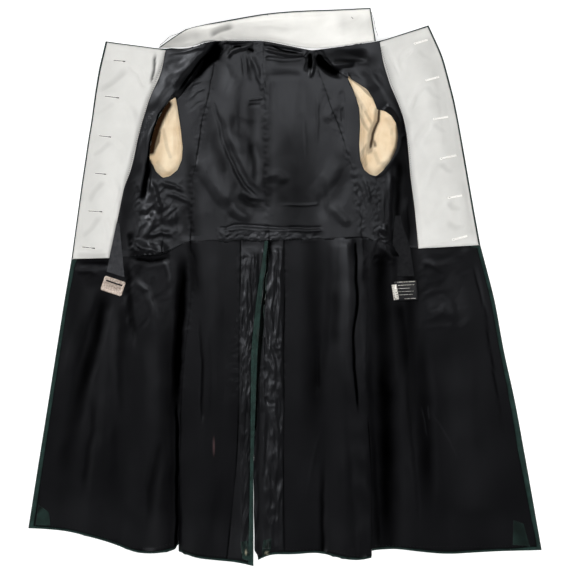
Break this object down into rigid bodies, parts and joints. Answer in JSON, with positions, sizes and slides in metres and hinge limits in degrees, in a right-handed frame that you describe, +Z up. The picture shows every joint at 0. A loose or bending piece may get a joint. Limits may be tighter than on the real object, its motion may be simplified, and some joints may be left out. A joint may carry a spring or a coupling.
{
  "type": "military overcoat",
  "caption": "Officer's double-breasted military overcoat laid open with its satin lining up, collar turned out and skirts spread.",
  "frame": {"origin": "centre of the footprint, on the surface the coat lies on", "axes": "+Y from the hem towards the collar, +X towards the coat's left front as seen from above its lining, +Z up out of the lining"},
  "size_m": [1.129, 1.226, 0.0741],
  "materials": {
    "wool": "matt felted wool",
    "satin": "soft satin",
    "facing": "matt felted wool",
    "cotton": "matt twill",
    "tape": "twill tape",
    "button_metal": "pebbled, satin",
    "buckle_metal": "worn plate",
    "clasp_metal": "black lacquer, worn to bright metal at one end"
  },
  "bodies": {
    "root": {"back_left": "wool", "back_right": "wool", "buckle_left": "buckle_metal", "button_left_1": "button_metal", "button_left_2": "button_metal", "button_left_3": "button_metal", "button_left_4": "button_metal", "button_left_5": "button_metal", "button_left_6": "button_metal", "button_right_1": "button_metal", "button_right_2": "button_metal", "button_right_3": "button_metal", "button_right_4": "button_metal", "button_right_5": "button_metal", "button_right_6": "button_metal", "clasp_right": "clasp_metal", "collar_facing": "facing", "forepart_left": "wool", "forepart_right": "wool", "hem_corner_front_left": "wool", "hem_corner_front_right": "wool", "hem_corner_vent_left": "wool", "hem_corner_vent_right": "wool", "lapel_facing_left": "facing", "lapel_facing_right": "facing", "lining_back_left": "satin", "lining_back_right": "satin", "lining_front_left": "satin", "lining_front_right": "satin", "lining_side_left": "satin", "lining_side_right": "satin", "lining_skirt_back_left": "satin", "lining_skirt_back_right": "satin", "lining_skirt_front_left": "satin", "lining_skirt_front_right": "satin", "side_body_left": "wool", "side_body_right": "wool", "skirt_back_left": "wool", "skirt_back_right": "wool", "skirt_front_left": "wool", "skirt_front_right": "wool", "sleeve_lining_left": "cotton", "sleeve_lining_right": "cotton", "top_sleeve_left": "wool", "top_sleeve_right": "wool", "under_collar": "wool", "under_sleeve_left": "wool", "under_sleeve_right": "wool", "vent_facing_left": "satin", "vent_facing_right": "satin", "vent_turned_edge": "wool", "vent_underlap": "wool", "waist_strap_left": "tape", "waist_strap_right": "tape"}
  },
  "joints": []
}
